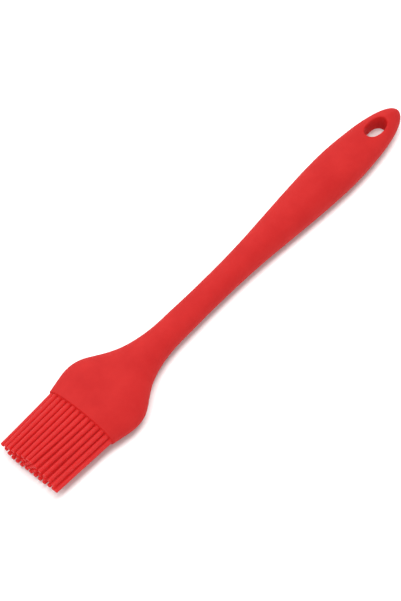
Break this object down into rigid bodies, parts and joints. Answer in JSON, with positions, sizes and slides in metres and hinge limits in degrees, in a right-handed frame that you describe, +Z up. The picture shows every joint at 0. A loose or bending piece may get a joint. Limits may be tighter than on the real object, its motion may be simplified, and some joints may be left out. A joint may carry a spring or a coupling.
{
  "type": "pastry brush",
  "caption": "Flat silicone pastry brush: soft round bristles in an oval head, a slim waisted handle with a stiff core, and a hanging hole in its end.",
  "frame": {"origin": "centre of the brush's footprint, on the plane it rests on when it lies flat", "axes": "+X from the bristle tips to the hanging hole, +Y across the width, +Z up through the thickness"},
  "size_m": [0.2602, 0.044, 0.0146],
  "materials": {
    "silicone_handle": "matte moulded silicone",
    "silicone_bristles": "satin moulded silicone",
    "nylon_core": "natural moulded nylon"
  },
  "bodies": {
    "handle": {"handle_sleeve": "silicone_handle", "handle_core": "nylon_core", "bristle_base": "silicone_bristles"},
    "bristle_row_01": {"bristle_17": "silicone_bristles", "bristle_23": "silicone_bristles"},
    "bristle_row_02": {"bristle_12": "silicone_bristles", "bristle_28": "silicone_bristles"},
    "bristle_row_03": {"bristle_09": "silicone_bristles", "bristle_31": "silicone_bristles"},
    "bristle_row_04": {"bristle_06": "silicone_bristles", "bristle_34": "silicone_bristles"},
    "bristle_row_05": {"bristle_04": "silicone_bristles", "bristle_36": "silicone_bristles"},
    "bristle_row_06": {"bristle_15": "silicone_bristles", "bristle_20": "silicone_bristles", "bristle_25": "silicone_bristles"},
    "bristle_row_07": {"bristle_02": "silicone_bristles", "bristle_38": "silicone_bristles"},
    "bristle_row_08": {"bristle_01": "silicone_bristles", "bristle_08": "silicone_bristles", "bristle_11": "silicone_bristles", "bristle_14": "silicone_bristles", "bristle_19": "silicone_bristles", "bristle_22": "silicone_bristles", "bristle_27": "silicone_bristles", "bristle_30": "silicone_bristles", "bristle_33": "silicone_bristles", "bristle_40": "silicone_bristles"},
    "bristle_row_09": {"bristle_03": "silicone_bristles", "bristle_39": "silicone_bristles"},
    "bristle_row_10": {"bristle_16": "silicone_bristles", "bristle_21": "silicone_bristles", "bristle_26": "silicone_bristles"},
    "bristle_row_11": {"bristle_05": "silicone_bristles", "bristle_37": "silicone_bristles"},
    "bristle_row_12": {"bristle_07": "silicone_bristles", "bristle_35": "silicone_bristles"},
    "bristle_row_13": {"bristle_10": "silicone_bristles", "bristle_32": "silicone_bristles"},
    "bristle_row_14": {"bristle_13": "silicone_bristles", "bristle_29": "silicone_bristles"},
    "bristle_row_15": {"bristle_18": "silicone_bristles", "bristle_24": "silicone_bristles"}
  },
  "joints": [
    {"name": "bristle_bend", "type": "hinge", "parent": "handle", "child": "bristle_row_08", "pos_m": [-0.09685, 0, 0.0073], "axis": [0, 1, 0], "range_deg": [-35, 35], "stiffness_Nm_per_rad": 0.0042},
    {"name": "bristle_bend_row_01", "type": "hinge", "parent": "handle", "child": "bristle_row_01", "pos_m": [-0.09685, 0, 0.01176], "axis": [0, 1, 0], "range_deg": [-35, 35], "stiffness_Nm_per_rad": 0.00084},
    {"name": "bristle_bend_row_02", "type": "hinge", "parent": "handle", "child": "bristle_row_02", "pos_m": [-0.09685, 0, 0.01155], "axis": [0, 1, 0], "range_deg": [-35, 35], "stiffness_Nm_per_rad": 0.00084},
    {"name": "bristle_bend_row_03", "type": "hinge", "parent": "handle", "child": "bristle_row_03", "pos_m": [-0.09685, 0, 0.0112], "axis": [0, 1, 0], "range_deg": [-35, 35], "stiffness_Nm_per_rad": 0.00084},
    {"name": "bristle_bend_row_04", "type": "hinge", "parent": "handle", "child": "bristle_row_04", "pos_m": [-0.09685, 0, 0.0107], "axis": [0, 1, 0], "range_deg": [-35, 35], "stiffness_Nm_per_rad": 0.00084},
    {"name": "bristle_bend_row_05", "type": "hinge", "parent": "handle", "child": "bristle_row_05", "pos_m": [-0.09685, 0, 0.01001], "axis": [0, 1, 0], "range_deg": [-35, 35], "stiffness_Nm_per_rad": 0.00084},
    {"name": "bristle_bend_row_06", "type": "hinge", "parent": "handle", "child": "bristle_row_06", "pos_m": [-0.09685, 0, 0.00944], "axis": [0, 1, 0], "range_deg": [-35, 35], "stiffness_Nm_per_rad": 0.00126},
    {"name": "bristle_bend_row_07", "type": "hinge", "parent": "handle", "child": "bristle_row_07", "pos_m": [-0.09685, 0, 0.00905], "axis": [0, 1, 0], "range_deg": [-35, 35], "stiffness_Nm_per_rad": 0.00084},
    {"name": "bristle_bend_row_09", "type": "hinge", "parent": "handle", "child": "bristle_row_09", "pos_m": [-0.09685, 0, 0.00555], "axis": [0, 1, 0], "range_deg": [-35, 35], "stiffness_Nm_per_rad": 0.00084},
    {"name": "bristle_bend_row_10", "type": "hinge", "parent": "handle", "child": "bristle_row_10", "pos_m": [-0.09685, 0, 0.00516], "axis": [0, 1, 0], "range_deg": [-35, 35], "stiffness_Nm_per_rad": 0.00126},
    {"name": "bristle_bend_row_11", "type": "hinge", "parent": "handle", "child": "bristle_row_11", "pos_m": [-0.09685, 0, 0.00458], "axis": [0, 1, 0], "range_deg": [-35, 35], "stiffness_Nm_per_rad": 0.00084},
    {"name": "bristle_bend_row_12", "type": "hinge", "parent": "handle", "child": "bristle_row_12", "pos_m": [-0.09685, 0, 0.0039], "axis": [0, 1, 0], "range_deg": [-35, 35], "stiffness_Nm_per_rad": 0.00084},
    {"name": "bristle_bend_row_13", "type": "hinge", "parent": "handle", "child": "bristle_row_13", "pos_m": [-0.09685, 0, 0.0034], "axis": [0, 1, 0], "range_deg": [-35, 35], "stiffness_Nm_per_rad": 0.00084},
    {"name": "bristle_bend_row_14", "type": "hinge", "parent": "handle", "child": "bristle_row_14", "pos_m": [-0.09685, 0, 0.00304], "axis": [0, 1, 0], "range_deg": [-35, 35], "stiffness_Nm_per_rad": 0.00084},
    {"name": "bristle_bend_row_15", "type": "hinge", "parent": "handle", "child": "bristle_row_15", "pos_m": [-0.09685, 0, 0.00284], "axis": [0, 1, 0], "range_deg": [-35, 35], "stiffness_Nm_per_rad": 0.00084}
  ],
  "couplings": [
    {"joint": "bristle_bend_row_01", "follows": "bristle_bend", "ratio": 1},
    {"joint": "bristle_bend_row_02", "follows": "bristle_bend", "ratio": 1},
    {"joint": "bristle_bend_row_03", "follows": "bristle_bend", "ratio": 1},
    {"joint": "bristle_bend_row_04", "follows": "bristle_bend", "ratio": 1},
    {"joint": "bristle_bend_row_05", "follows": "bristle_bend", "ratio": 1},
    {"joint": "bristle_bend_row_06", "follows": "bristle_bend", "ratio": 1},
    {"joint": "bristle_bend_row_07", "follows": "bristle_bend", "ratio": 1},
    {"joint": "bristle_bend_row_09", "follows": "bristle_bend", "ratio": 1},
    {"joint": "bristle_bend_row_10", "follows": "bristle_bend", "ratio": 1},
    {"joint": "bristle_bend_row_11", "follows": "bristle_bend", "ratio": 1},
    {"joint": "bristle_bend_row_12", "follows": "bristle_bend", "ratio": 1},
    {"joint": "bristle_bend_row_13", "follows": "bristle_bend", "ratio": 1},
    {"joint": "bristle_bend_row_14", "follows": "bristle_bend", "ratio": 1},
    {"joint": "bristle_bend_row_15", "follows": "bristle_bend", "ratio": 1}
  ]
}
